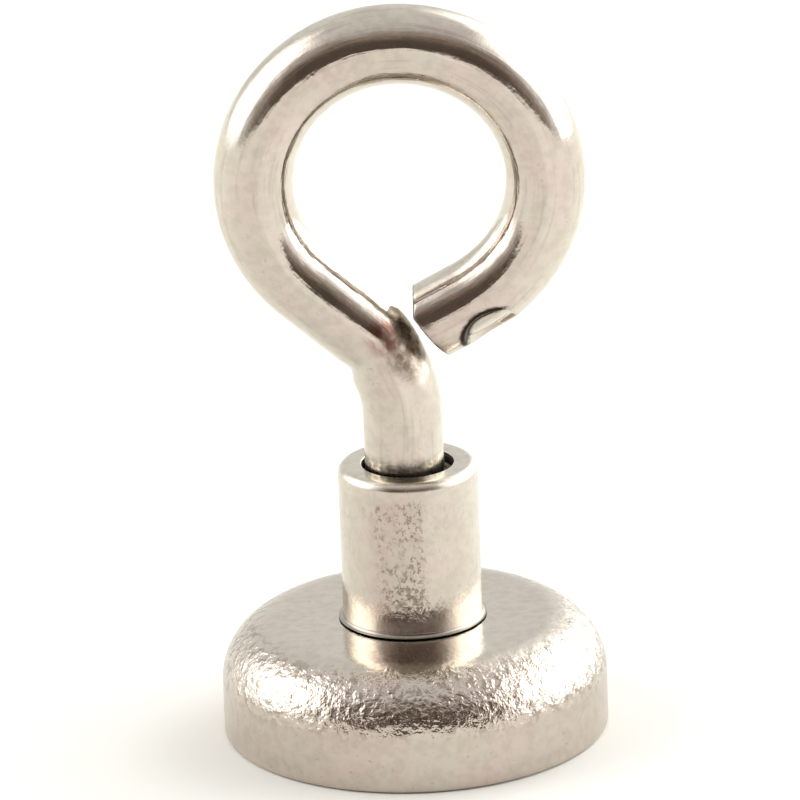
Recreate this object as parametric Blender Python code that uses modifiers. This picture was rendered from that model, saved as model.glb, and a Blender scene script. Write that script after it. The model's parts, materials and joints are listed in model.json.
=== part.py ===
"""Small pot magnet with a screw-in eye, as used for magnet fishing.

A neodymium disc is bonded into a steel cup, a threaded sleeve is riveted to the roof of the cup, and
a bent wire eye screws into the sleeve. The cup stands on the plane z = 0 with its axis on Z, and the
eye lies in the XZ plane.
"""

import math

import bpy

# Driving dimensions, in metres.
MM = 0.001

CUP_RADIUS = 10.0 * MM
CUP_HEIGHT = 6.0 * MM
CUP_SHOULDER = 3.2 * MM
CUP_EDGE = 0.18 * MM
ROOF_THICKNESS = 2.0 * MM
POCKET_RADIUS = 8.5 * MM
POCKET_CORNER = 0.4 * MM
RIM_CHAMFER = 0.15 * MM

MAGNET_RADIUS = 7.9 * MM
MAGNET_THICKNESS = 3.5 * MM
MAGNET_EDGE = 0.2 * MM
FACE_RECESS = 0.15 * MM
RESIN_RECESS = 0.35 * MM

SLEEVE_RADIUS = 3.62 * MM
SLEEVE_FOOT_RADIUS = 3.84 * MM
SLEEVE_FOOT_HEIGHT = 0.9 * MM
SLEEVE_TOP = 14.43 * MM
SLEEVE_EDGE = 0.22 * MM
MOUTH_RADIUS = 2.36 * MM
MOUTH_DEPTH = 0.6 * MM
SPIGOT_RADIUS = 2.6 * MM
FLARE_RADIUS = 3.2 * MM
FLARE_DEPTH = 0.7 * MM

# The M4 thread stands as a plain shaft and bore at its mean diameter.
STUD_RADIUS = 1.77 * MM
STUD_LENGTH = 8.0 * MM
STUD_CHAMFER = 0.4 * MM
BORE_RADIUS = 1.83 * MM

WIRE_RADIUS = 2.05 * MM
EYE_RADIUS = 7.39 * MM
EYE_CENTRE_Z = 29.65 * MM
SEAT_DEPTH = 0.5 * MM
SHANK_BEND_RADIUS = 5.7 * MM
LEG_ANGLE = math.radians(42.0)
EYE_END_ANGLE = math.radians(-62.6)
END_LENGTH = 2.05 * MM

# The wire is cropped to a wedge. Its edge is this far past the cut's corners and from the centreline.
CROP_REACH = 0.53 * MM
CROP_OFFSET = 1.03 * MM
CROP_CLEARANCE = 0.03 * MM

# Gaps that keep touching pieces apart, and the open joint line under the sleeve.
FIT_GAP = 0.04 * MM
SEAM_GAP = 0.1 * MM

POCKET_TOP = CUP_HEIGHT - ROOF_THICKNESS
MAGNET_TOP = FACE_RECESS + MAGNET_THICKNESS
EYE_SEAT_Z = SLEEVE_TOP - SEAT_DEPTH

# Facets round each turned piece. All are multiples of 16, so that coaxial faces line up.
CUP_STEPS = 96
SLEEVE_STEPS = 64
STUD_STEPS = 32


def clear_scene():
    for obj in list(bpy.data.objects):
        bpy.data.objects.remove(obj, do_unlink=True)


def part_collection(name):
    collection = bpy.data.collections.new(name)
    bpy.context.scene.collection.children.link(collection)
    return collection


def plain_material(name, colour, metallic, roughness):
    material = bpy.data.materials.new(name)
    material.use_nodes = True
    shader = material.node_tree.nodes["Principled BSDF"]
    shader.inputs["Base Color"].default_value = (*colour, 1.0)
    shader.inputs["Metallic"].default_value = metallic
    shader.inputs["Roughness"].default_value = roughness
    material.diffuse_color = (*colour, 1.0)
    return material


def arc(centre, radius, start, end, count):
    """Points of an arc in a plane, from the angle start to the angle end, both ends included."""
    points = []
    for i in range(count + 1):
        angle = start + (end - start) * i / count
        points.append(
            (centre[0] + radius * math.cos(angle), centre[1] + radius * math.sin(angle))
        )
    return points


def turned(name, outline, closed, steps, collection, material):
    """Turns an outline of (radius, height) points about Z.

    The outline runs down the outer side of the piece. A closed outline makes a piece with a hole
    through it, and an open one starts and ends on the axis.
    """
    vertices = [(radius, 0.0, height) for radius, height in outline]
    edges = [(i, i + 1) for i in range(len(vertices) - 1)]
    if closed:
        edges.append((len(vertices) - 1, 0))
    mesh = bpy.data.meshes.new(name)
    mesh.from_pydata(vertices, edges, [])
    obj = bpy.data.objects.new(name, mesh)
    collection.objects.link(obj)
    screw = obj.modifiers.new("Turn", "SCREW")
    screw.axis = "Z"
    screw.steps = steps
    screw.render_steps = steps
    screw.use_merge_vertices = not closed
    screw.merge_threshold = 0.000001
    mesh.materials.append(material)
    return obj


def pot_cup(collection):
    """The steel cup: a roof with a riveting hole, a rounded shoulder and a straight wall."""
    quarter = math.pi / 2
    shoulder = (CUP_RADIUS - CUP_SHOULDER, CUP_HEIGHT - CUP_SHOULDER)
    edge = (CUP_RADIUS - CUP_EDGE, CUP_EDGE)
    corner = (POCKET_RADIUS - POCKET_CORNER, POCKET_TOP - POCKET_CORNER)
    hole = SPIGOT_RADIUS + FIT_GAP
    sink = FLARE_RADIUS + FIT_GAP
    outline = [(hole, CUP_HEIGHT)]
    outline += arc(shoulder, CUP_SHOULDER, quarter, 0.0, 10)
    outline += arc(edge, CUP_EDGE, 0.0, -quarter, 2)
    outline += [(POCKET_RADIUS + RIM_CHAMFER, 0.0), (POCKET_RADIUS, RIM_CHAMFER)]
    outline += arc(corner, POCKET_CORNER, 0.0, quarter, 3)
    outline += [(sink, POCKET_TOP), (hole, POCKET_TOP + FLARE_DEPTH)]
    material = plain_material("nickel_plated_cup", (0.78, 0.71, 0.62), 1.0, 0.18)
    return turned("pot_cup", outline, True, CUP_STEPS, collection, material)


def threaded_sleeve(collection):
    """The turned bush: its spigot passes through the cup's roof and is flared into the countersink."""
    quarter = math.pi / 2
    bottom = CUP_HEIGHT + SEAM_GAP
    flare_bottom = POCKET_TOP + FIT_GAP
    top_edge = (SLEEVE_RADIUS - SLEEVE_EDGE, SLEEVE_TOP - SLEEVE_EDGE)
    thread_top = SLEEVE_TOP - MOUTH_DEPTH - (MOUTH_RADIUS - BORE_RADIUS)
    outline = [(MOUTH_RADIUS, SLEEVE_TOP)]
    outline += arc(top_edge, SLEEVE_EDGE, quarter, 0.0, 4)
    for i in range(5):
        share = i / 4
        flare = (SLEEVE_FOOT_RADIUS - SLEEVE_RADIUS) * share**2
        outline.append((SLEEVE_RADIUS + flare, bottom + SLEEVE_FOOT_HEIGHT * (1 - share)))
    outline += [
        (SPIGOT_RADIUS, bottom),
        (SPIGOT_RADIUS, POCKET_TOP + FLARE_DEPTH),
        (FLARE_RADIUS, flare_bottom),
        (BORE_RADIUS, flare_bottom),
        (BORE_RADIUS, thread_top),
        (MOUTH_RADIUS, SLEEVE_TOP - MOUTH_DEPTH),
    ]
    material = plain_material("nickel_plated_sleeve", (0.76, 0.70, 0.61), 1.0, 0.2)
    return turned("threaded_sleeve", outline, True, SLEEVE_STEPS, collection, material)


def magnet_disc(collection):
    """The neodymium disc, a little inside the rim so that the rim takes the knocks."""
    quarter = math.pi / 2
    inner = MAGNET_RADIUS - MAGNET_EDGE
    outline = [(0.0, MAGNET_TOP)]
    outline += arc((inner, MAGNET_TOP - MAGNET_EDGE), MAGNET_EDGE, quarter, 0.0, 3)
    outline += arc((inner, FACE_RECESS + MAGNET_EDGE), MAGNET_EDGE, 0.0, -quarter, 3)
    outline += [(0.0, FACE_RECESS)]
    material = plain_material("nickel_plated_magnet", (0.72, 0.71, 0.69), 1.0, 0.25)
    return turned("magnet_disc", outline, False, CUP_STEPS, collection, material)


def bond_film(collection):
    """The adhesive between the disc and the roof of the cup."""
    top = POCKET_TOP - FIT_GAP
    bottom = MAGNET_TOP + FIT_GAP
    outline = [(0.0, top), (MAGNET_RADIUS, top), (MAGNET_RADIUS, bottom), (0.0, bottom)]
    material = plain_material("cured_adhesive", (0.60, 0.52, 0.36), 0.0, 0.5)
    return turned("bond_film", outline, False, CUP_STEPS, collection, material)


def epoxy_ring(collection):
    """The resin between the disc and the wall of the cup."""
    outer = POCKET_RADIUS - FIT_GAP
    inner = MAGNET_RADIUS + FIT_GAP
    outline = [
        (inner, MAGNET_TOP),
        (outer - POCKET_CORNER, MAGNET_TOP),
        (outer, MAGNET_TOP - POCKET_CORNER),
        (outer, RESIN_RECESS),
        (inner, RESIN_RECESS),
    ]
    material = plain_material("cured_epoxy", (0.05, 0.05, 0.055), 0.0, 0.35)
    return turned("epoxy_ring", outline, True, CUP_STEPS, collection, material)


def threaded_stud(collection):
    """The threaded end of the eye screw, as a plain shaft with a chamfered tip."""
    top = EYE_SEAT_Z - SEAM_GAP
    tip = top - STUD_LENGTH
    outline = [
        (0.0, top),
        (STUD_RADIUS, top),
        (STUD_RADIUS, tip + STUD_CHAMFER),
        (STUD_RADIUS - STUD_CHAMFER, tip),
        (0.0, tip),
    ]
    material = plain_material("nickel_plated_thread", (0.74, 0.68, 0.59), 1.0, 0.25)
    return turned("threaded_stud", outline, False, STUD_STEPS, collection, material)


def eye_centreline():
    """The wire's centreline in the XZ plane, from its seat in the sleeve to its cropped end."""
    centre = (0.0, EYE_CENTRE_Z)
    # The leg is tangent to the eye at its lower left, and bends down into the shank.
    joining = math.pi * 1.5 - LEG_ANGLE
    join = (EYE_RADIUS * math.cos(joining), EYE_CENTRE_Z + EYE_RADIUS * math.sin(joining))
    crossing_z = join[1] + join[0] * math.tan(LEG_ANGLE)
    turn = math.pi / 2 - LEG_ANGLE
    bend_z = crossing_z - SHANK_BEND_RADIUS * math.tan(turn / 2)
    points = [(0.0, EYE_SEAT_Z)]
    points += arc((-SHANK_BEND_RADIUS, bend_z), SHANK_BEND_RADIUS, 0.0, turn, 8)
    points += arc(centre, EYE_RADIUS, joining, EYE_END_ANGLE, 52)
    # The end runs on straight, up to the edge of its wedge.
    points.append(from_eye_end(END_LENGTH + CROP_REACH, 0.0))
    return points


def from_eye_end(along, inward):
    """A point at a distance along the straight end of the wire, and toward the inside of the eye."""
    cosine = math.cos(EYE_END_ANGLE)
    sine = math.sin(EYE_END_ANGLE)
    radius = EYE_RADIUS - inward
    return (radius * cosine + along * sine, EYE_CENTRE_Z + radius * sine - along * cosine)


def crop_cutter(collection):
    """A block with a V groove, which leaves the end of the wire as a wedge."""
    edge = END_LENGTH + CROP_REACH
    reach = WIRE_RADIUS + 0.5 * MM
    inner_slope = CROP_REACH / (WIRE_RADIUS - CROP_OFFSET)
    outer_slope = CROP_REACH / (WIRE_RADIUS + CROP_OFFSET)
    groove = [
        (edge + CROP_CLEARANCE, reach),
        (edge - inner_slope * (reach - CROP_OFFSET), reach),
        (edge, CROP_OFFSET),
        (edge - outer_slope * (reach + CROP_OFFSET), -reach),
        (edge + CROP_CLEARANCE, -reach),
    ]
    corners = [from_eye_end(along, inward) for along, inward in groove]
    vertices = [(x, y, z - EYE_SEAT_Z) for y in (-reach, reach) for x, z in corners]
    count = len(corners)
    faces = [tuple(reversed(range(count))), tuple(range(count, 2 * count))]
    for i in range(count):
        after = (i + 1) % count
        faces.append((i, after, after + count, i + count))
    mesh = bpy.data.meshes.new("crop_cutter")
    mesh.from_pydata(vertices, [], faces)
    obj = bpy.data.objects.new("crop_cutter", mesh)
    obj.location = (0.0, 0.0, EYE_SEAT_Z)
    collection.objects.link(obj)
    return obj


def baked_mesh(obj):
    """The mesh of an object with its modifiers applied."""
    depsgraph = bpy.context.evaluated_depsgraph_get()
    return bpy.data.meshes.new_from_object(obj.evaluated_get(depsgraph))


def eye_loop(collection):
    """The bent wire above the thread, with its origin on the axis that it turns about."""
    points = eye_centreline()
    curve = bpy.data.curves.new("eye_wire", "CURVE")
    curve.dimensions = "3D"
    curve.bevel_depth = WIRE_RADIUS
    curve.bevel_resolution = 6
    curve.use_fill_caps = True
    spline = curve.splines.new("POLY")
    spline.points.add(len(points) - 1)
    for point, (x, z) in zip(spline.points, points):
        point.co = (x, 0.0, z - EYE_SEAT_Z, 1.0)
    wire = bpy.data.objects.new("eye_wire", curve)
    collection.objects.link(wire)
    obj = bpy.data.objects.new("eye_loop", baked_mesh(wire))
    obj.location = (0.0, 0.0, EYE_SEAT_Z)
    collection.objects.link(obj)
    cutter = crop_cutter(collection)
    crop = obj.modifiers.new("Crop", "BOOLEAN")
    crop.operation = "DIFFERENCE"
    crop.solver = "EXACT"
    crop.object = cutter
    obj.data = baked_mesh(obj)
    obj.modifiers.clear()
    bpy.data.objects.remove(cutter)
    bpy.data.objects.remove(wire)
    obj.data.materials.clear()
    obj.data.materials.append(plain_material("nickel_plated_eye", (0.80, 0.74, 0.66), 1.0, 0.15))
    return obj


def main():
    clear_scene()
    collection = part_collection("magnet_fishing_magnet")
    pot_cup(collection)
    threaded_sleeve(collection)
    magnet_disc(collection)
    bond_film(collection)
    epoxy_ring(collection)
    threaded_stud(collection)
    eye_loop(collection)


main()
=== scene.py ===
"""Looks of the small pot magnet with a screw-in eye: meshes, plated metal, floor, light and camera.

Every length is in metres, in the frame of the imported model: the axis of the magnet is Z, the rim of
the cup stands on z = 0 and the eye lies in the XZ plane. The front of the object faces -Y.
"""

import json
import math

import bpy
import numpy as np
from mathutils import Matrix, Vector


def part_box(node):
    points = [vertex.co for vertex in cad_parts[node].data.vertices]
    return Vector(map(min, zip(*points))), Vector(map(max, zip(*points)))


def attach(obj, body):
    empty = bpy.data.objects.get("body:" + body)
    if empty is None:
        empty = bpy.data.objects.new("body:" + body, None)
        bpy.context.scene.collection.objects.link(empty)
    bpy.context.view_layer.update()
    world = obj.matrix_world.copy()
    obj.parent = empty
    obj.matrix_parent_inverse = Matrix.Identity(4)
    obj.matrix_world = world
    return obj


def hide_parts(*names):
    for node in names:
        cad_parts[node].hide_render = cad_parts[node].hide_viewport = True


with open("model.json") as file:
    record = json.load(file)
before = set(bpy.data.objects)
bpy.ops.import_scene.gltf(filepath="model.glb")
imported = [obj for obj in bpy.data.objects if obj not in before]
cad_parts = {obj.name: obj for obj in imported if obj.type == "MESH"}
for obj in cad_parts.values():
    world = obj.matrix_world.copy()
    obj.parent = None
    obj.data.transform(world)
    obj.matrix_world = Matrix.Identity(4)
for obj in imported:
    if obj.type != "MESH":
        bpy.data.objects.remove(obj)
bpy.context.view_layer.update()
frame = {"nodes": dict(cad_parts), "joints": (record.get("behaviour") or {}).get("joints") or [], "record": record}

MM = 0.001
TAU = 2 * math.pi

# ---------------------------------------------------------------------------
# Sizes read from the frame
# ---------------------------------------------------------------------------

cup_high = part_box("pot_cup")[1]
sleeve_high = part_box("threaded_sleeve")[1]
magnet_low, magnet_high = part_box("magnet_disc")
resin_low, resin_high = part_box("epoxy_ring")
film_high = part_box("bond_film")[1]
stud_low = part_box("threaded_stud")[0]
eye_low, eye_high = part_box("eye_loop")
joints = {joint["name"]: joint for joint in frame["joints"]}
coupling = frame["record"]["behaviour"]["couplings"][0]

CUP_R = cup_high.x
CUP_TOP = cup_high.z
SLEEVE_TOP = sleeve_high.z
MAGNET_R = magnet_high.x
MAGNET_FACE = magnet_low.z
RESIN_R = resin_high.x
RESIN_FACE = resin_low.z
ROOF_Z = film_high.z
WIRE_R = eye_high.y
EYE_R = (eye_high.x - eye_low.x) / 2 - WIRE_R
EYE_Z = eye_high.z - EYE_R - WIRE_R
SEAT_Z = joints["eye_turn"]["pos_m"][2]
STUD_TIP = stud_low.z
PITCH = coupling["ratio"] * TAU


# ---------------------------------------------------------------------------
# Mesh tools
# ---------------------------------------------------------------------------


def arc(centre, radius, start, end, count):
    """Points of an arc in a plane, angles in degrees, both ends included."""
    angles = np.radians(np.linspace(start, end, count + 1))
    return [(centre[0] + radius * math.cos(a), centre[1] + radius * math.sin(a)) for a in angles]


def line(start, end, count):
    """Points after start up to end, evenly spaced."""
    return [
        (start[0] + (end[0] - start[0]) * i / count, start[1] + (end[1] - start[1]) * i / count)
        for i in range(1, count + 1)
    ]


def smoothstep(low, high, value):
    share = np.clip((value - low) / (high - low), 0.0, 1.0)
    return share * share * (3 - 2 * share)


def mesh_from_rows(name, rows, loop_rows=False, caps=()):
    """A mesh through rows of points, each row a closed ring.

    loop_rows joins the last row to the first. caps is a set of "first" and "last": such an end is
    closed by strips between the points of its row that mirror each other in Y.
    """
    rows = np.asarray(rows, float)
    count, around = rows.shape[:2]
    here = np.arange(around)
    after = (here + 1) % around
    faces = []
    for i in range(count if loop_rows else count - 1):
        low, high = i * around, (i + 1) % count * around
        faces.append(np.stack([low + here, low + after, high + after, high + here], 1))
    faces = np.concatenate(faces).tolist()
    for end in caps:
        base = 0 if end == "first" else (count - 1) * around
        for k in range(around // 2):
            quad = [k, k + 1, (around - k - 1) % around, (around - k) % around]
            corners = list(dict.fromkeys(base + c for c in quad))
            if len(corners) > 2:
                faces.append(corners[::-1] if end == "last" else corners)
    mesh = bpy.data.meshes.new(name)
    mesh.from_pydata(rows.reshape(-1, 3).tolist(), [], faces)
    mesh.validate()
    mesh.update()
    obj = bpy.data.objects.new(name, mesh)
    bpy.context.scene.collection.objects.link(obj)
    return obj


def finish_piece(obj, body, material, nodes):
    """Shades a piece, gives it its material and puts it on its body in place of its CAD nodes."""
    mesh = obj.data
    mesh.shade_smooth()
    mesh.set_sharp_from_angle(angle=math.radians(35))
    mesh.materials.append(material)
    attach(obj, body)
    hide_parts(*nodes)
    return obj


def turned_rows(outline, around, change=None):
    """Rings for an outline of (radius, height) points turned about Z.

    change(angle, radius, height) may return a new radius and height for each point.
    """
    angle = np.linspace(0, TAU, around, endpoint=False)
    rows = []
    for radius, height in outline:
        r = np.full(around, radius)
        z = np.full(around, height)
        if change:
            r, z = change(angle, r, z)
        rows.append(np.stack([r * np.cos(angle), r * np.sin(angle), z], 1))
    return rows


# ---------------------------------------------------------------------------
# Materials
# ---------------------------------------------------------------------------


def connect(value, socket):
    """Links an output to an input, or gives the input a value of its own."""
    if isinstance(value, bpy.types.NodeSocket):
        socket.id_data.links.new(value, socket)
    else:
        socket.default_value = value


class Nodes:
    """A node tree with helpers for the maths of its patterns."""

    def __init__(self, tree):
        self.tree = tree

    def node(self, kind, **inputs):
        made = self.tree.nodes.new(kind)
        for name, value in inputs.items():
            connect(value, made.inputs[name.replace("_", " ")])
        return made

    def math(self, operation, first, second=0.0, third=0.0, clamp=False):
        made = self.tree.nodes.new("ShaderNodeMath")
        made.operation = operation
        made.use_clamp = clamp
        for value, socket in zip((first, second, third), made.inputs):
            connect(value, socket)
        return made.outputs[0]

    def product(self, first, *others):
        for other in others:
            first = self.math("MULTIPLY", first, other)
        return first

    def ramp(self, value, low, high, start=0.0, end=1.0):
        """Maps value from low..high to start..end, smoothly and with no overshoot."""
        ends = {"From_Min": low, "From_Max": high, "To_Min": start, "To_Max": end}
        made = self.node("ShaderNodeMapRange", Value=value, **ends)
        made.interpolation_type = "SMOOTHSTEP"
        return made.outputs[0]

    def band(self, value, start, full, fade, end):
        """1 from full to fade, falling to 0 at start and at end."""
        return self.product(self.ramp(value, start, full), self.ramp(value, fade, end, 1.0, 0.0))

    def mix(self, share, first, second):
        """A colour between first and second, each an output or three numbers."""
        made = self.tree.nodes.new("ShaderNodeMix")
        made.data_type = "RGBA"
        inputs = {socket.identifier: socket for socket in made.inputs}
        connect(share, inputs["Factor_Float"])
        for name, colour in (("A_Color", first), ("B_Color", second)):
            connect((*colour, 1.0) if isinstance(colour, tuple) else colour, inputs[name])
        return next(s for s in made.outputs if s.identifier == "Result_Color")


class Shader(Nodes):
    """A Principled material with procedural nodes."""

    def __init__(self, name, metallic, roughness):
        self.material = bpy.data.materials.new(name)
        self.material.use_nodes = True
        super().__init__(self.material.node_tree)
        self.principled = self.tree.nodes["Principled BSDF"]
        self.principled.inputs["Metallic"].default_value = metallic
        self.principled.inputs["Roughness"].default_value = roughness
        self.place = self.node("ShaderNodeTexCoord").outputs["Object"]
        # The facing ramp is 1 where the surface is seen edge-on; the plate uses it for a painted sheen.
        facing = self.node("ShaderNodeLayerWeight", Blend=0.5)
        self.edge = self.ramp(facing.outputs["Facing"], 0.12, 0.55)

    def link(self, source, name):
        self.tree.links.new(source, self.principled.inputs[name])

    def attribute(self, name, output):
        """An attribute stored on the mesh."""
        made = self.tree.nodes.new("ShaderNodeAttribute")
        made.attribute_name = name
        return made.outputs[output]

    def noise(self, size, detail=3.0, roughness=0.55, stretch=(1, 1, 1), place=None):
        """Noise from 0 to 1 with features of about size metres, longer along a stretched axis."""
        mapping = self.node("ShaderNodeMapping", Vector=place or self.place)
        mapping.inputs["Scale"].default_value = [1 / s for s in stretch]
        made = self.node(
            "ShaderNodeTexNoise",
            Vector=mapping.outputs[0],
            Scale=0.5 / size,
            Detail=detail,
            Roughness=roughness,
        )
        return made.outputs["Fac"]

    def bump(self, height, distance, normal=None):
        made = self.node("ShaderNodeBump", Height=height, Distance=distance, Strength=1.0)
        if normal:
            connect(normal, made.inputs["Normal"])
        return made.outputs[0]

    def parts(self):
        """X, Y and Z of the place on the object, in metres."""
        return self.node("ShaderNodeSeparateXYZ", Vector=self.place).outputs


# Nickel plate: a warm grey drifting between pinker and greener tones, with a painted sheen at its edges.
PLATE_PINK = (0.575, 0.49, 0.445)
PLATE_GREEN = (0.555, 0.505, 0.44)
PLATE_EDGE_SHEEN = (0.62, 0.575, 0.495)
PLATE_WARM_EDGE_SHEEN = (0.60, 0.54, 0.475)
PLATE_PIT = (0.16, 0.115, 0.075)
PLATE_WORN_AND_SHADED = (0.33, 0.26, 0.22)
PAINTED_SHADE_COLOUR = (0.028, 0.019, 0.011)
ROSE = (0.25, 0.11, 0.09)


def plate_colour(shader, pits, edge=PLATE_EDGE_SHEEN):
    """The plate's colour, darker where pits, from 0 to 1, says so: real pits, and on the cup painted shade too."""
    tone = shader.ramp(shader.noise(1.3 * MM, detail=3.0), 0.38, 0.62)
    plain = shader.mix(tone, PLATE_PINK, PLATE_GREEN)
    # Painted sheen: the plate is paler where the surface is seen edge-on.
    pale = shader.mix(shader.edge, plain, edge)
    mottle = shader.ramp(shader.noise(0.28 * MM, detail=2.0), 0.35, 0.7, 0.0, 0.14)
    return shader.mix(shader.math("MAXIMUM", pits, mottle), pale, PLATE_PIT)


def pit_mask(shader, size, rarity):
    """Small scattered dark specks, from 0 to 1: the higher the rarity, the fewer."""
    return shader.ramp(shader.noise(size, detail=1.0), rarity, rarity + 0.08)


def near(shader, centre, inner, outer):
    """1 within inner of a place on the object, falling to 0 at outer."""
    apart = shader.tree.nodes.new("ShaderNodeVectorMath")
    apart.operation = "DISTANCE"
    connect(shader.place, apart.inputs[0])
    apart.inputs[1].default_value = centre
    return shader.ramp(apart.outputs["Value"], inner, outer, 1.0, 0.0)


def eye_material():
    """Bright plate over drawn wire, streaked along the wire, and stained and rubbed at the bend."""
    shader = Shader("nickel_plate_eye", 1.0, 0.1)
    wire = shader.attribute("wire", "Vector")
    colour = plate_colour(shader, shader.product(pit_mask(shader, 0.13 * MM, 0.68), 0.2))
    patchy = shader.ramp(shader.noise(0.35 * MM, stretch=(2, 1, 1), place=wire), 0.32, 0.55)
    stain = near(shader, (-0.95 * MM, -1.8 * MM, SEAT_Z + 7.95 * MM), 0.4 * MM, 1.3 * MM)
    colour = shader.mix(shader.product(stain, patchy), colour, ROSE)
    # The outer side of the bend is rubbed dull and brown.
    rubbed = near(shader, (0.4 * MM, -1.2 * MM, SEAT_Z + 7.2 * MM), 0.9 * MM, 2.3 * MM)
    brown = shader.ramp(shader.noise(0.22 * MM, detail=3.0), 0.38, 0.62, 0.3, 0.88)
    colour = shader.mix(shader.product(rubbed, brown), colour, PLATE_PIT)
    streak = shader.ramp(shader.noise(0.15 * MM, stretch=(14, 1, 1), place=wire), 0.54, 0.7)
    colour = shader.mix(shader.product(streak, 0.15), colour, PLATE_PIT)
    # Painted shade in creases: light shade is speckled, and heavy shade is solid.
    painted_shade = shader.attribute("painted_shade", "Fac")
    speckle = shader.ramp(shader.noise(0.14 * MM, detail=3.0), 0.36, 0.6, 0.45, 1.0)
    solid = shader.ramp(painted_shade, 0.75, 0.95)
    painted_shade = shader.product(painted_shade, shader.math("MAXIMUM", speckle, solid))
    shader.link(shader.mix(painted_shade, colour, PAINTED_SHADE_COLOUR), "Base Color")
    rough = shader.ramp(shader.noise(0.5 * MM), 0.3, 0.7, 0.08, 0.16)
    rough = shader.math("MULTIPLY_ADD", painted_shade, 0.3, rough)
    shader.link(shader.math("MULTIPLY_ADD", rubbed, 0.26, rough), "Roughness")
    waves = shader.noise(1.0 * MM, detail=2.0, stretch=(1.6, 1, 1), place=wire)
    drawn = shader.noise(0.14 * MM, detail=2.0, stretch=(10, 1, 1), place=wire)
    grain = shader.noise(0.10 * MM, detail=2.0)
    normal = shader.bump(waves, 0.045 * MM)
    normal = shader.bump(drawn, 0.014 * MM, normal)
    shader.link(shader.bump(grain, 0.005 * MM, normal), "Normal")
    return shader.material


def sleeve_material():
    """Plate over a turned bush: fine pits and some painted shade on its front, a dull rim and foot, and painted
    shade at the foot and in the mouth.
    """
    shader = Shader("nickel_plate_sleeve", 1.0, 0.16)
    x, y, z = shader.parts()
    # Pits gather in a wandering column on the front, and stay clear of the rim and the foot.
    wander = shader.noise(1.2 * MM, detail=1.0)
    across = shader.math("MULTIPLY_ADD", wander, 1.2 * MM, x)
    column = shader.band(across, -1.8 * MM, -0.9 * MM, 0.9 * MM, 1.9 * MM)
    column = shader.product(column, shader.ramp(y, -2.5 * MM, -1.5 * MM, 1.0, 0.0))
    wall_bottom, wall_top = CUP_TOP + 0.6 * MM, SLEEVE_TOP - 0.6 * MM
    wall = shader.band(z, wall_bottom, wall_bottom + 0.9 * MM, wall_top - 0.7 * MM, wall_top)
    cluster = shader.ramp(shader.noise(0.5 * MM, detail=1.0), 0.36, 0.56, 0.45, 1.0)
    scattered = shader.ramp(shader.noise(1.8 * MM, detail=2.0), 0.4, 0.6, 0.04, 0.3)
    wear_and_front_shade = shader.product(shader.math("MAXIMUM", column, scattered), wall)
    specks = shader.noise(0.11 * MM, detail=3.0, roughness=0.75, stretch=(1, 1, 1.4))
    pits = shader.product(shader.ramp(specks, 0.50, 0.62), wear_and_front_shade, cluster)
    colour = plate_colour(shader, shader.product(pits, 0.75))
    # Worn places are tinted darker: real wear, and on the front column also a painted shade.
    colour = shader.mix(shader.product(wear_and_front_shade, 0.2), colour, PLATE_WORN_AND_SHADED)
    painted_shade = shader.attribute("painted_shade", "Fac")
    shader.link(shader.mix(painted_shade, colour, PAINTED_SHADE_COLOUR), "Base Color")
    # The rim and the foot are duller than the wall.
    dull = shader.math("SUBTRACT", 1.0, wall)
    rough = shader.ramp(shader.noise(0.5 * MM), 0.3, 0.7, 0.11, 0.2)
    rough = shader.math("MULTIPLY_ADD", dull, 0.09, rough)
    shader.link(shader.math("MAXIMUM", rough, shader.product(painted_shade, 0.5)), "Roughness")
    streaks = shader.noise(0.10 * MM, detail=2.5, roughness=0.6, stretch=(1, 1, 2.2))
    depth = shader.math("MULTIPLY_ADD", wall, 0.2, 0.1)
    streaks = shader.product(streaks, shader.math("ADD", wear_and_front_shade, depth))
    normal = shader.bump(shader.noise(0.7 * MM), 0.02 * MM)
    normal = shader.bump(streaks, 0.034 * MM, normal)
    shader.link(shader.bump(pits, -0.010 * MM, normal), "Normal")
    return shader.material


def cup_material():
    """Plate that is smooth on the roof, grained like orange peel on the shoulder, dull below."""
    shader = Shader("nickel_plate_cup", 1.0, 0.2)
    x, y, z = shader.parts()
    radius = shader.math("SQRT", shader.math("MULTIPLY_ADD", y, y, shader.product(x, x)))
    outside = shader.ramp(radius, 0.74 * CUP_R, 0.86 * CUP_R)
    above = shader.ramp(z, 0.36 * CUP_TOP, 0.62 * CUP_TOP)
    shoulder = shader.product(outside, above)
    wall = shader.product(outside, shader.math("SUBTRACT", 1.0, above))
    peel = shader.noise(0.21 * MM, detail=2.5, roughness=0.55)
    # Painted shade: dark specks in the orange-peel grain of the shoulder.
    peel_shade = shader.product(shader.ramp(peel, 0.5, 0.61), shoulder, 0.5)
    specks = shader.product(pit_mask(shader, 0.12 * MM, 0.68), 0.3)
    pits = shader.math("MAXIMUM", peel_shade, specks)
    shader.link(plate_colour(shader, pits, PLATE_WARM_EDGE_SHEEN), "Base Color")
    shader.link(shader.math("MULTIPLY_ADD", wall, 0.08, 0.17), "Roughness")
    mottle = shader.noise(0.6 * MM, detail=2.0)
    height = shader.product(peel, shader.math("ADD", shoulder, 0.14))
    normal = shader.bump(mottle, 0.02 * MM)
    shader.link(shader.bump(height, 0.12 * MM, normal), "Normal")
    return shader.material


def magnet_material():
    shader = Shader("nickel_plate_magnet", 1.0, 0.2)
    tone = shader.ramp(shader.noise(2.5 * MM), 0.3, 0.7)
    shader.link(shader.mix(tone, (0.62, 0.60, 0.57), (0.70, 0.68, 0.65)), "Base Color")
    rough = shader.ramp(shader.noise(0.8 * MM, stretch=(6, 1, 1)), 0.3, 0.7, 0.14, 0.3)
    shader.link(rough, "Roughness")
    shader.link(shader.bump(shader.noise(0.3 * MM), 0.004 * MM), "Normal")
    return shader.material


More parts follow.
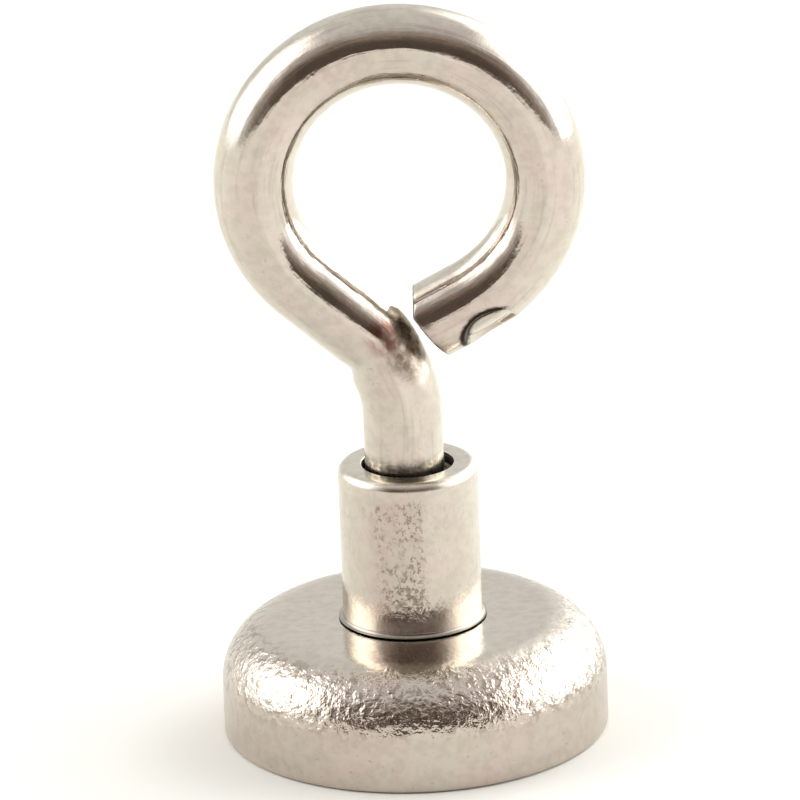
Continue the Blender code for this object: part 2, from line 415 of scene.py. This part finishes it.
def epoxy_material():
    shader = Shader("black_epoxy", 0.0, 0.3)
    tone = shader.ramp(shader.noise(0.5 * MM), 0.35, 0.7)
    shader.link(shader.mix(tone, (0.018, 0.018, 0.02), (0.045, 0.045, 0.05)), "Base Color")
    shader.link(shader.bump(shader.noise(0.35 * MM), 0.03 * MM), "Normal")
    return shader.material


def adhesive_material():
    shader = Shader("cured_adhesive", 0.0, 0.5)
    tone = shader.ramp(shader.noise(1.0 * MM), 0.35, 0.7)
    shader.link(shader.mix(tone, (0.42, 0.34, 0.20), (0.55, 0.46, 0.30)), "Base Color")
    shader.link(shader.bump(shader.noise(0.4 * MM), 0.03 * MM), "Normal")
    return shader.material


def floor_material():
    """A pale floor with painted light: its colour is a little brighter on the side of the larger soft box."""
    shader = Shader("pale_floor_with_painted_light", 0.0, 0.9)
    x = shader.parts()[0]
    # Painted light: the floor's colour is brighter towards the larger soft box on the right, and a little on the
    # far left.
    right = shader.ramp(x, 2 * MM, 28 * MM)
    left = shader.product(shader.ramp(x, -90 * MM, -30 * MM, 1.0, 0.0), 0.4)
    grain = shader.math("MULTIPLY_ADD", shader.noise(40 * MM, detail=2.0), 0.1, -0.05)
    tone = shader.math("ADD", shader.math("MAXIMUM", right, left), grain, clamp=True)
    shader.link(shader.mix(tone, (0.81, 0.795, 0.765), (0.95, 0.945, 0.92)), "Base Color")
    shader.principled.inputs["Specular IOR Level"].default_value = 0.1
    return shader.material


# ---------------------------------------------------------------------------
# Thread
# ---------------------------------------------------------------------------

# M4 by 0.7. The crest and root radii are those of the screw, and the sleeve's are this much larger.
THREAD_CREST = 1.97 * MM
THREAD_ROOT = 1.57 * MM
THREAD_PLAY = 0.06 * MM


def thread_radius(angle, height):
    """Radius of the screw's thread: a right-hand helix with 60 degree flanks and small flats."""
    turns = height / PITCH - angle / TAU
    share = np.abs((turns % 1.0) * 2 - 1)
    return THREAD_ROOT + (THREAD_CREST - THREAD_ROOT) * smoothstep(0.12, 0.88, share)


# ---------------------------------------------------------------------------
# Eye screw
# ---------------------------------------------------------------------------

EYE_AROUND = 168
BEND_R = 5.7 * MM
LEG_ANGLE = math.radians(42.0)
EYE_END = math.radians(-62.6)
END_STRAIGHT = 2.05 * MM


def eye_path():
    """The centreline above the seat, as pieces of (length, curvature), and its whole length.

    The pieces are the shank, its bend, the leg, the eye and its straight end. A positive curvature
    turns left, seen from the front.
    """
    joining = 1.5 * math.pi - LEG_ANGLE
    join = (EYE_R * math.cos(joining), EYE_Z + EYE_R * math.sin(joining))
    turn = math.pi / 2 - LEG_ANGLE
    bend_z = join[1] + join[0] * math.tan(LEG_ANGLE) - BEND_R * math.tan(turn / 2)
    leg_x = join[0] + BEND_R * (1 - math.cos(turn))
    leg_z = join[1] - bend_z - BEND_R * math.sin(turn)
    pieces = [
        (bend_z - SEAT_Z, 0.0),
        (BEND_R * turn, 1 / BEND_R),
        (math.hypot(leg_x, leg_z), 0.0),
        (EYE_R * (joining - EYE_END), -1 / EYE_R),
        (END_STRAIGHT, 0.0),
    ]
    total = sum(length for length, _ in pieces)
    return pieces, total


def walk(pieces, stations):
    """(x, z, heading) at the given lengths along a line of straight and round pieces.

    The heading is the angle of travel from +X.
    """
    x, z, heading = 0.0, SEAT_Z, math.pi / 2
    start = 0.0
    found = []
    left = list(stations)
    for number, (length, curvature) in enumerate(pieces):
        last = number == len(pieces) - 1
        while left and (left[0] <= start + length or last):
            found.append(step(x, z, heading, left.pop(0) - start, curvature))
        x, z, heading = step(x, z, heading, length, curvature)
        start += length
    return np.array(found)


def step(x, z, heading, length, curvature):
    """The place and heading after a length of a straight or round piece."""
    if abs(curvature) < 1e-9:
        return x + length * math.cos(heading), z + length * math.sin(heading), heading
    radius = 1 / curvature
    turned = heading + length * curvature
    return (
        x + radius * (math.sin(turned) - math.sin(heading)),
        z - radius * (math.cos(turned) - math.cos(heading)),
        turned,
    )


# The cropped end: two planes that meet in an edge along Y. Offsets are across the wire from its
# centreline, positive on the inner side of the eye, and lengths are along it.
CROP_EDGE_OFFSET = 1.03 * MM
CROP_EDGE_REACH = 0.53 * MM


def crop_reach(offset):
    """How far past the square end the wire reaches at an offset from its centreline."""
    outer = (offset + WIRE_R) / (CROP_EDGE_OFFSET + WIRE_R)
    inner = (WIRE_R - offset) / (WIRE_R - CROP_EDGE_OFFSET)
    return CROP_EDGE_REACH * np.clip(np.minimum(inner, outer), 0.0, 1.0)


def eased(knots, values, places):
    """Values between knots, level at each knot."""
    knots, values = np.asarray(knots), np.asarray(values)
    places = np.clip(places, knots[0], knots[-1])
    after = np.clip(np.searchsorted(knots, places, side="right"), 1, len(knots) - 1)
    share = (places - knots[after - 1]) / (knots[after] - knots[after - 1])
    return values[after - 1] + (values[after] - values[after - 1]) * smoothstep(0, 1, share)


# The mark of a jaw, as its centre's distance from the end of the wire's line.
MARK_FROM_END = END_STRAIGHT + 0.35 * MM


def tool_mark(station, mark, cosine, sine):
    """Depth of the scoop that a jaw pressed into the outer underside of the wire, and painted shade on its rim."""
    along = (station - mark) / (1.4 * MM)
    # Zero at the outer side of the eye, positive toward the front.
    around = np.arctan2(-sine, -cosine)
    across = (around - math.radians(38)) / math.radians(40)
    inside = along**2 + across**2
    depth = 0.42 * MM * smoothstep(0.0, 0.42, 1 - inside) * (1 - 0.3 * inside)
    # Painted shade along the scoop's upper rim.
    edge = smoothstep(0.30, 0.52, inside) * (1 - smoothstep(1.18, 1.45, inside))
    upper = smoothstep(-0.1, 0.45, across + 0.45 * along)
    return depth, edge * upper


class Rings:
    """Rings of points around the wire, with the wire coordinates and the painted shade of each point.

    The wire coordinates are the length along the wire from the seat and the place across it.
    The painted shade is 1 in dark creases and 0 elsewhere.
    """

    def __init__(self, around):
        self.angle = np.linspace(0, TAU, around, endpoint=False)
        self.cosine, self.sine = np.cos(self.angle), np.sin(self.angle)
        self.points, self.wire, self.painted_shade = [], [], []

    def add(self, x, y, z, station, painted_shade=0.0):
        around = np.ones_like(self.angle)
        self.points.append(np.stack([x, y, z * around], 1))
        across = [WIRE_R * self.cosine, WIRE_R * self.sine]
        self.wire.append(np.stack([station * around, *across], 1))
        self.painted_shade.append(painted_shade * around)

    def add_across(self, place, radius, across, along, station, painted_shade):
        """A ring across the wire's line at (x, z, heading), moved by across and along it."""
        x, z, heading = place
        px = x + math.sin(heading) * across + math.cos(heading) * along
        pz = z - math.cos(heading) * across + math.sin(heading) * along
        self.add(px, radius * self.sine, pz, station, painted_shade)


def add_thread(rings):
    """The thread, from the screw's tip up to the seat."""
    runout = 0.55 * MM
    count = int((SEAT_Z - STUD_TIP) / PITCH * 16)
    for height in np.linspace(STUD_TIP, SEAT_Z, count, endpoint=False):
        radius = thread_radius(rings.angle, height)
        radius = np.minimum(radius, THREAD_ROOT - 0.25 * MM + (height - STUD_TIP) * 1.0)
        full = smoothstep(SEAT_Z - runout, SEAT_Z - 0.1 * MM, height)
        radius = radius * (1 - full) + WIRE_R * full
        # Painted shade: the thread is darkened towards its roots.
        shade_amount = 1 - smoothstep(THREAD_ROOT, THREAD_CREST, radius)
        rings.add(radius * rings.cosine, radius * rings.sine, height, height - SEAT_Z, shade_amount)


def add_wire(rings):
    """The shank, the bend, the leg and the eye, up to the cropped end. Returns the end's place."""
    pieces, total = eye_path()
    shank, bend, leg = (length for length, _ in pieces[:3])
    bend_end = shank + bend
    mark = total - MARK_FROM_END
    stations = np.concatenate(
        [
            np.linspace(0, shank - 0.4 * MM, 30, endpoint=False),
            np.linspace(shank - 0.4 * MM, bend_end + 0.6 * MM, 64, endpoint=False),
            np.linspace(bend_end + 0.6 * MM, mark - 1.6 * MM, 170, endpoint=False),
            np.linspace(mark - 1.6 * MM, mark + 1.6 * MM, 56, endpoint=False),
            np.linspace(mark + 1.6 * MM, total, 8),
        ]
    )
    # The wire was bent by hand, so it strays to the inner (+) or outer (-) side of its line.
    left = bend_end + leg + EYE_R * math.radians(48)
    top, right = left + EYE_R * math.pi / 2, left + EYE_R * math.pi
    knots = [0, shank + 2.2 * MM, bend_end + 0.4 * MM, left, top, right, mark, total]
    strays = np.array([-0.15, -0.18, 0.16, 0.03, 0.07, -0.17, 0, 0]) * MM
    sway = eased(knots, strays, stations)
    crease_at = shank + 4.05 * MM
    hollow = 1 - smoothstep(-0.8, -0.1, rings.cosine)
    mouth = SLEEVE_TOP - SEAT_Z
    for station, stray, place in zip(stations, sway, walk(pieces, stations)):
        depth, edge = tool_mark(station, mark, rings.cosine, rings.sine)
        radius = WIRE_R - depth
        # On the hollow side of the bend, the leg meets the shank in a crease.
        crease = max(0.0, 1 - abs(station - crease_at) / (1.0 * MM))
        across = radius * rings.cosine + stray + 0.18 * MM * crease * hollow
        lean = np.clip(1 - (total - station) / (1.6 * MM), 0, 1)
        along = crop_reach(radius * rings.cosine) * lean
        # Painted shade: the shank is darkened where it enters the sleeve's mouth.
        neck_shade = 0.72 * (1 - smoothstep(mouth + 0.2 * MM, mouth + 1.0 * MM, station))
        rings.add_across(place, radius, across, along, station, np.maximum(edge, neck_shade))
    return place, total


def add_crop(rings, place, total):
    """The cropped edge, rounded over into the two facets that close the wire."""
    rounding = 0.09 * MM
    # Painted shade along the rounded crop edge, darkest on its first turns.
    for turn, shade_amount in ((20, 0.8), (45, 0.8), (75, 0.6), (90, 0.25)):
        turn = math.radians(turn)
        radius = WIRE_R - rounding * (1 - math.cos(turn))
        across = radius * rings.cosine
        along = crop_reach(across) + rounding * math.sin(turn)
        rings.add_across(place, radius, across, along, total, shade_amount)


def store(obj, name, kind, values):
    """Stores values on the points of a mesh, for its material to read."""
    field = {"FLOAT": "value", "FLOAT_VECTOR": "vector"}[kind]
    attribute = obj.data.attributes.new(name, kind, "POINT")
    attribute.data.foreach_set(field, np.ascontiguousarray(values, dtype=np.float32).ravel())


def make_eye_screw():
    """The bent wire with its thread, its tool mark and its cropped end, as one mesh."""
    rings = Rings(EYE_AROUND)
    add_thread(rings)
    add_crop(rings, *add_wire(rings))
    obj = mesh_from_rows("eye_screw", rings.points, caps=("first", "last"))
    store(obj, "wire", "FLOAT_VECTOR", rings.wire)
    store(obj, "painted_shade", "FLOAT", rings.painted_shade)
    return finish_piece(obj, "eye", eye_material(), ["eye_loop", "threaded_stud"])


# ---------------------------------------------------------------------------
# Sleeve, cup, magnet and resin
# ---------------------------------------------------------------------------


def make_sleeve():
    """The turned bush: rounded rim and mouth, inner thread, rolled foot and riveted spigot."""
    body_r = 3.62 * MM
    foot_r = sleeve_high.x
    bottom = CUP_TOP + 0.08 * MM
    rim = 0.48 * MM
    mouth_r = 2.38 * MM
    mouth_depth = 0.62 * MM
    lip = 0.08 * MM
    spigot_r = 2.6 * MM
    flare_r = 3.2 * MM
    foot = foot_r - body_r
    thread_top = SLEEVE_TOP - mouth_depth - (mouth_r - THREAD_CREST - THREAD_PLAY)
    thread_bottom = ROOF_Z + 0.3 * MM
    outline = arc((mouth_r + lip, SLEEVE_TOP - lip), lip, 180, 90, 5)
    outline += line(outline[-1], (body_r - rim, SLEEVE_TOP), 3)
    outline += arc((body_r - rim, SLEEVE_TOP - rim), rim, 90, 0, 10)[1:]
    outline += line(outline[-1], (body_r, bottom + foot), 20)
    outside = len(outline)
    outline += arc((foot_r, bottom + foot), foot, 180, 250, 6)[1:]
    outline += [(foot_r, bottom)]
    rolled = len(outline) - outside
    outline += [(spigot_r, bottom)]
    outline += line(outline[-1], (spigot_r, ROOF_Z + 0.7 * MM), 3)
    outline += [(flare_r, ROOF_Z + 0.06 * MM), (THREAD_CREST + 0.2 * MM, ROOF_Z + 0.06 * MM)]
    outline += [(0.0, thread_bottom + (thread_top - thread_bottom) * i / 200) for i in range(201)]
    outline += [(mouth_r, SLEEVE_TOP - mouth_depth)]
    outline += line(outline[-1], (mouth_r, SLEEVE_TOP - lip), 3)[:-1]

    def inner_thread(angle, radius, height):
        if radius[0] > 0:
            return radius, height
        fade = smoothstep(thread_top - 0.35 * MM, thread_top, height)
        thread = thread_radius(angle, height) + THREAD_PLAY
        return thread * (1 - fade) + (THREAD_CREST + THREAD_PLAY) * fade, height

    around = 160
    obj = mesh_from_rows("sleeve", turned_rows(outline, around, inner_thread)[::-1], loop_rows=True)
    # Painted shade: the rolled foot is darkened where it meets the cup, and the mouth, bore and underside are
    # darker still.
    shade_amount = [0.0] * outside + [0.45] * rolled + [0.85] * (len(outline) - outside - rolled)
    store(obj, "painted_shade", "FLOAT", np.repeat(shade_amount[::-1], around))
    nodes = ["threaded_sleeve"]
    return finish_piece(obj, "magnet_base", sleeve_material(), nodes)


def make_cup():
    """The cup, with a broad rounded shoulder, a small rounded rim and a hole in its roof."""
    shoulder = 3.2 * MM
    edge = 0.2 * MM
    hole_r = 2.64 * MM
    sink_r = 3.24 * MM
    pocket_r = 8.5 * MM
    outline = [(hole_r, CUP_TOP)]
    outline += line(outline[-1], (CUP_R - shoulder, CUP_TOP), 10)
    outline += arc((CUP_R - shoulder, CUP_TOP - shoulder), shoulder, 90, 0, 40)[1:]
    outline += line(outline[-1], (CUP_R, edge), 12)
    outline += arc((CUP_R - edge, edge), edge, 0, -90, 5)[1:]
    outline += line(outline[-1], (pocket_r + 0.12 * MM, 0.0), 3)
    outline += arc((pocket_r + 0.12 * MM, 0.12 * MM), 0.12 * MM, -90, -180, 3)[1:]
    outline += line(outline[-1], (pocket_r, ROOF_Z - 0.36 * MM), 6)
    outline += arc((pocket_r - 0.4 * MM, ROOF_Z - 0.36 * MM), 0.4 * MM, 0, 90, 5)[1:]
    outline += line(outline[-1], (sink_r, ROOF_Z + 0.04 * MM), 4)
    outline += [(hole_r, ROOF_Z + 0.74 * MM)]
    obj = mesh_from_rows("cup", turned_rows(outline, 256)[::-1], loop_rows=True)
    return finish_piece(obj, "magnet_base", cup_material(), ["pot_cup"])


def make_magnet():
    """The disc, with small rounded edges."""
    edge = 0.22 * MM
    top = magnet_high.z
    # The faces start at a tiny ring, which the caps close.
    hub = 0.02 * MM
    outline = [(hub, top)]
    outline += line(outline[-1], (MAGNET_R - edge, top), 8)
    outline += arc((MAGNET_R - edge, top - edge), edge, 90, 0, 5)[1:]
    outline += line(outline[-1], (MAGNET_R, MAGNET_FACE + edge), 6)
    outline += arc((MAGNET_R - edge, MAGNET_FACE + edge), edge, 0, -90, 5)[1:]
    outline += line(outline[-1], (hub, MAGNET_FACE), 8)
    rows = turned_rows(outline, 160)[::-1]
    obj = mesh_from_rows("magnet", rows, caps=("first", "last"))
    nodes = ["magnet_disc"]
    return finish_piece(obj, "magnet_base", magnet_material(), nodes)


def make_resin():
    """The epoxy ring: its face is drawn up the two walls, and it was poured unevenly."""
    inner = MAGNET_R + 0.03 * MM
    outer = RESIN_R + 0.02 * MM
    rise = 0.16 * MM
    middle = (inner + outer) / 2
    half = (outer - inner) / 2
    top = resin_high.z
    corner = 0.35 * MM
    outline = [(inner, top), (outer - corner, top), (outer, top - corner)]
    for i in range(11):
        share = 1 - i / 5
        outline.append((middle + half * share, RESIN_FACE - rise * share**2))

    def uneven(angle, radius, height):
        low = height < RESIN_FACE + 0.01 * MM
        wave = np.sin(3 * angle + 0.7) + 0.6 * np.sin(7 * angle + 2.0) + 0.4 * np.sin(16 * angle)
        return radius, height + np.where(low, 0.02 * MM * wave, 0.0)

    obj = mesh_from_rows("resin", turned_rows(outline, 192, uneven)[::-1], loop_rows=True)
    return finish_piece(obj, "magnet_base", epoxy_material(), ["epoxy_ring"])


def dress_film():
    """The hidden adhesive keeps its CAD solid, in its own material."""
    film = frame["nodes"]["bond_film"]
    film.data.materials.clear()
    film.data.materials.append(adhesive_material())


# ---------------------------------------------------------------------------
# Floor, light and camera
# ---------------------------------------------------------------------------


def make_floor():
    bpy.ops.mesh.primitive_plane_add(size=6.0)
    floor = bpy.context.object
    floor.name = "floor"
    # Just below the cup's rim, so that the two faces don't coincide.
    floor.location.z = -0.02 * MM
    floor.data.materials.append(floor_material())


# Brightness of the room and of its soft boxes, where a white floor under the sky would be 1.
ROOM = 0.93
BOXES = 3.4


def make_light():
    """A studio as a world: a pale room, a wide soft box on each side and a dark gap in front."""
    world = bpy.data.worlds.new("studio")
    bpy.context.scene.world = world
    world.use_nodes = True
    nodes = Nodes(world.node_tree)
    direction = nodes.node("ShaderNodeTexCoord").outputs["Generated"]
    x, y, z = nodes.node("ShaderNodeSeparateXYZ", Vector=direction).outputs
    # Azimuth from the front, where -Y is 0 and +X is positive.
    azimuth = nodes.math("ARCTAN2", x, nodes.product(y, -1.0))
    elevation = nodes.math("ARCSINE", z)

    def soft_box(azimuths, elevations):
        azimuths, elevations = np.radians(azimuths).tolist(), np.radians(elevations).tolist()
        return nodes.product(nodes.band(azimuth, *azimuths), nodes.band(elevation, *elevations))

    front = nodes.product(
        nodes.ramp(nodes.math("ABSOLUTE", azimuth), math.radians(26), math.radians(74), 1.0, 0.0),
        nodes.ramp(elevation, math.radians(20), math.radians(80), 1.0, 0.0),
    )
    left = soft_box((-140, -102, -88, -50), (-6, 16, 38, 60))
    right = soft_box((50, 92, 134, 176), (-22, 0, 36, 58))
    gap = nodes.math("SUBTRACT", 1.0, nodes.product(front, 0.88))
    level = nodes.product(gap, ROOM)
    level = nodes.math("MULTIPLY_ADD", nodes.math("ADD", left, right), BOXES, level)
    colour = nodes.mix(nodes.ramp(level, 0.1, 0.8), (1.18, 0.96, 0.78), (1.0, 1.0, 0.975))
    background = nodes.tree.nodes["Background"]
    connect(colour, background.inputs["Color"])
    connect(level, background.inputs["Strength"])


def make_camera():
    """The photograph's view: from the front, about 19 degrees up, through a long lens."""
    elevation = math.radians(19.326)
    roll = math.radians(-2.039)
    distance = 430 * MM
    pivot = Vector((0, 0, 20 * MM))
    aim = Vector((-0.274 * MM, 0, 17.8 * MM))
    place = pivot + distance * Vector((0, -math.cos(elevation), math.sin(elevation)))
    forward = (aim - place).normalized()
    side = forward.cross(Vector((0, 0, 1))).normalized()
    up = side.cross(forward)
    right = math.cos(roll) * side + math.sin(roll) * up
    top = -math.sin(roll) * side + math.cos(roll) * up
    data = bpy.data.cameras.new("camera")
    data.sensor_width = 36.0
    data.lens = 376.8
    data.clip_start = 0.05
    data.clip_end = 20.0
    camera = bpy.data.objects.new("camera", data)
    turn = Matrix((right, top, -forward)).transposed().to_4x4()
    camera.matrix_world = Matrix.Translation(place) @ turn
    bpy.context.scene.collection.objects.link(camera)
    bpy.context.scene.camera = camera


bpy.context.scene.view_settings.view_transform = "Standard"
make_camera()
make_light()
make_floor()
make_eye_screw()
make_sleeve()
make_cup()
make_magnet()
make_resin()
dress_film()
